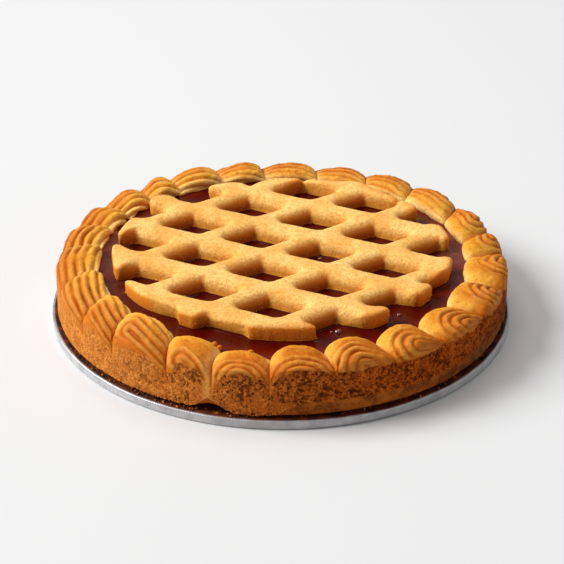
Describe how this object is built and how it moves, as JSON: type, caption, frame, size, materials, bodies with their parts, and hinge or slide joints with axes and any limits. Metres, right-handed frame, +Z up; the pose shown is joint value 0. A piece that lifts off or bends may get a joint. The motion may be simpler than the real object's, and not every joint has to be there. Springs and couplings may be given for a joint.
{
  "type": "apricot jam tart",
  "caption": "Whole round shortcrust tart filled with apricot jam, with a flat cut lattice on top and a piped shell border, on its own thin foil-faced card round.",
  "frame": {"origin": "middle of the flat underside of the card round, on the surface it stands on", "axes": "+Z straight up; -Y towards the front; +X to the right as seen from the front"},
  "size_m": [0.25, 0.25, 0.039],
  "materials": {
    "foil_card": "thin grey board with a bright silver foil face and a pinked foil rim",
    "base_crust": null,
    "apricot_jam": null,
    "lattice_crust": "baked shortcrust, pale golden tan and finely sandy, browner at the cut sides",
    "piped_crust": "piped baked shortcrust, golden with darker orange grooves and a browned outer side"
  },
  "bodies": {
    "root": {"foil_card": "foil_card", "pastry_base": "base_crust", "jam": "apricot_jam", "lattice": "lattice_crust", "shell_01": "piped_crust", "shell_02": "piped_crust", "shell_03": "piped_crust", "shell_04": "piped_crust", "shell_05": "piped_crust", "shell_06": "piped_crust", "shell_07": "piped_crust", "shell_08": "piped_crust", "shell_09": "piped_crust", "shell_10": "piped_crust", "shell_11": "piped_crust", "shell_12": "piped_crust", "shell_13": "piped_crust", "shell_14": "piped_crust", "shell_15": "piped_crust", "shell_16": "piped_crust", "shell_17": "piped_crust", "shell_18": "piped_crust", "shell_19": "piped_crust", "shell_20": "piped_crust", "shell_21": "piped_crust", "shell_22": "piped_crust", "shell_23": "piped_crust", "shell_24": "piped_crust"}
  },
  "joints": []
}
